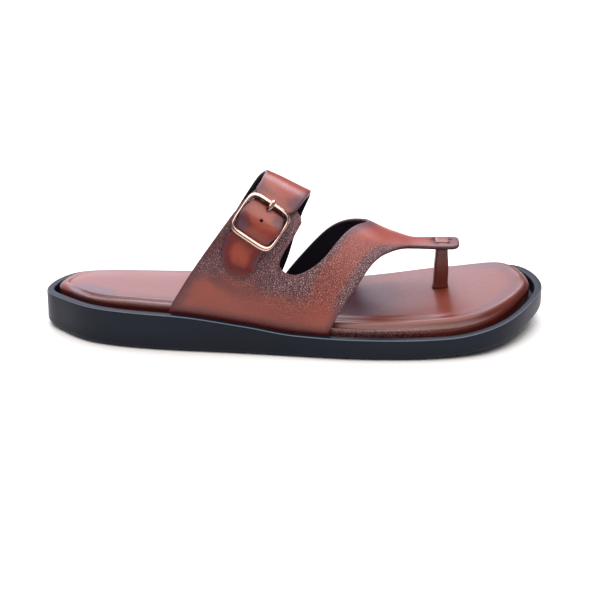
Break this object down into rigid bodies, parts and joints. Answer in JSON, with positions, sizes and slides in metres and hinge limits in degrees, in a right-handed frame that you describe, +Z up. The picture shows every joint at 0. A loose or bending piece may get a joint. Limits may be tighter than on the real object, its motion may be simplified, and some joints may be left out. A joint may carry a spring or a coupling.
{
  "type": "strappy sandal",
  "caption": "Right-foot leather sandal: moulded black sole, padded footbed, thong upper on a toe post, and an instep strap with a metal buckle.",
  "frame": {"origin": "on the floor, under the middle of the sole's length and width", "axes": "+X to the toe, +Y to the inner (big toe) side, +Z up"},
  "size_m": [0.2881, 0.1014, 0.0942],
  "materials": {
    "sole": "moulded black sole, satin",
    "footbed_leather": "smooth red-brown leather over padding, burnished dark at the edges",
    "grained_leather": "pebbled red-brown leather, burnished purple-brown at the edges",
    "smooth_leather": "smooth red-brown strap leather with dark edges",
    "rolled_leather": "dark brown rolled leather",
    "buckle_metal": "antique rose-bronze, polished on the high parts"
  },
  "bodies": {
    "root": {"outsole": "sole", "footbed": "footbed_leather", "upper": "grained_leather", "instep_strap": "smooth_leather", "toe_post": "rolled_leather", "buckle_frame": "buckle_metal", "buckle_prong": "buckle_metal"}
  },
  "joints": []
}
